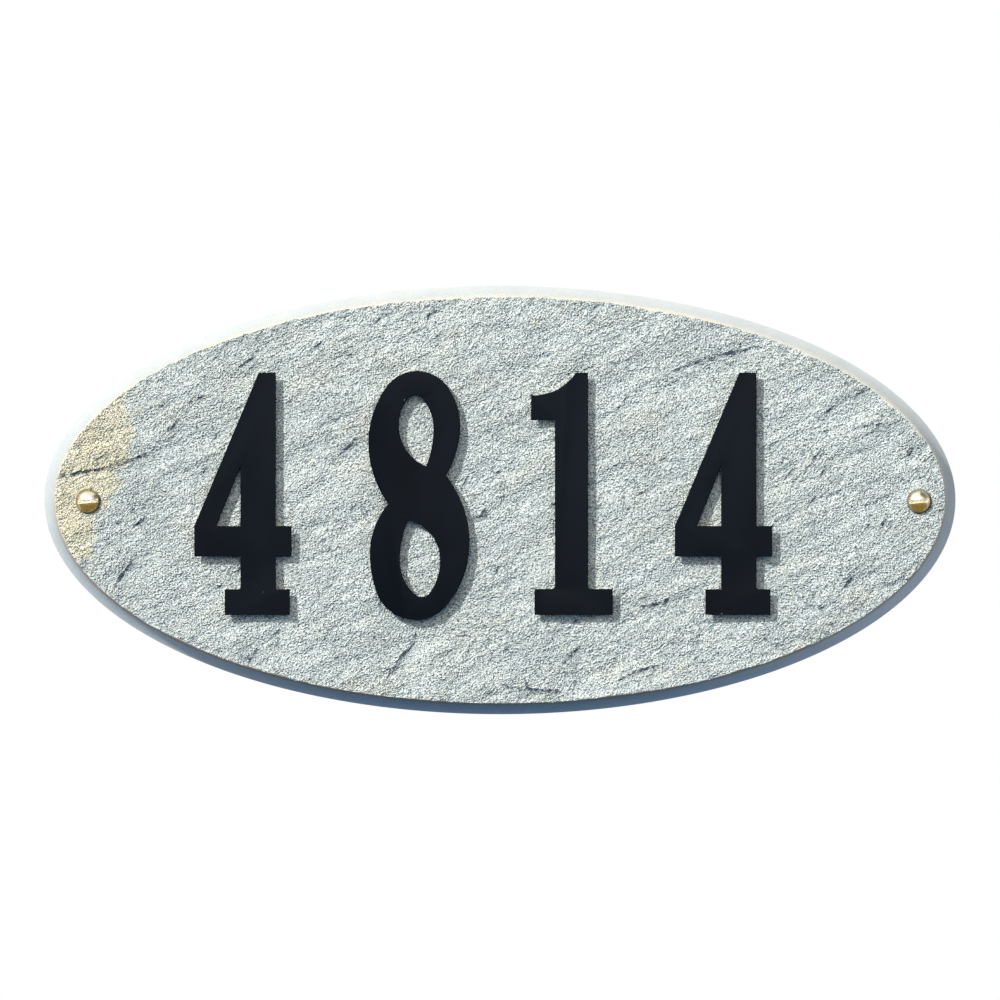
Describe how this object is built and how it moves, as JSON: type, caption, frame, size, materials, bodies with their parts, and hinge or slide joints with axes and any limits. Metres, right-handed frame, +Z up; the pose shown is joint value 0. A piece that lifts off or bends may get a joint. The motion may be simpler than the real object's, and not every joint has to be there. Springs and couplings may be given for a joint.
{
  "type": "house number plaque",
  "caption": "Oval split-stone house number plaque with a coved edge, raised black figures on foam pads, and slotted brass screws that fix it to a wall.",
  "frame": {"origin": "centre of the oval on the sawn back, where the plaque meets the wall", "axes": "+X along the row of figures to the reader's right, +Y into the wall, +Z up"},
  "size_m": [0.381, 0.0423, 0.1792],
  "materials": {
    "split_stone": "matte",
    "black_figure": "satin",
    "foam_pad": "matte",
    "brass": "polished"
  },
  "bodies": {
    "root": {"stone_slab": "split_stone", "digit_four_left": "black_figure", "digit_eight": "black_figure", "digit_one": "black_figure", "digit_four_right": "black_figure", "pad_four_left": "foam_pad", "pad_eight": "foam_pad", "pad_one": "foam_pad", "pad_four_right": "foam_pad", "brass_screws": "brass"}
  },
  "joints": []
}
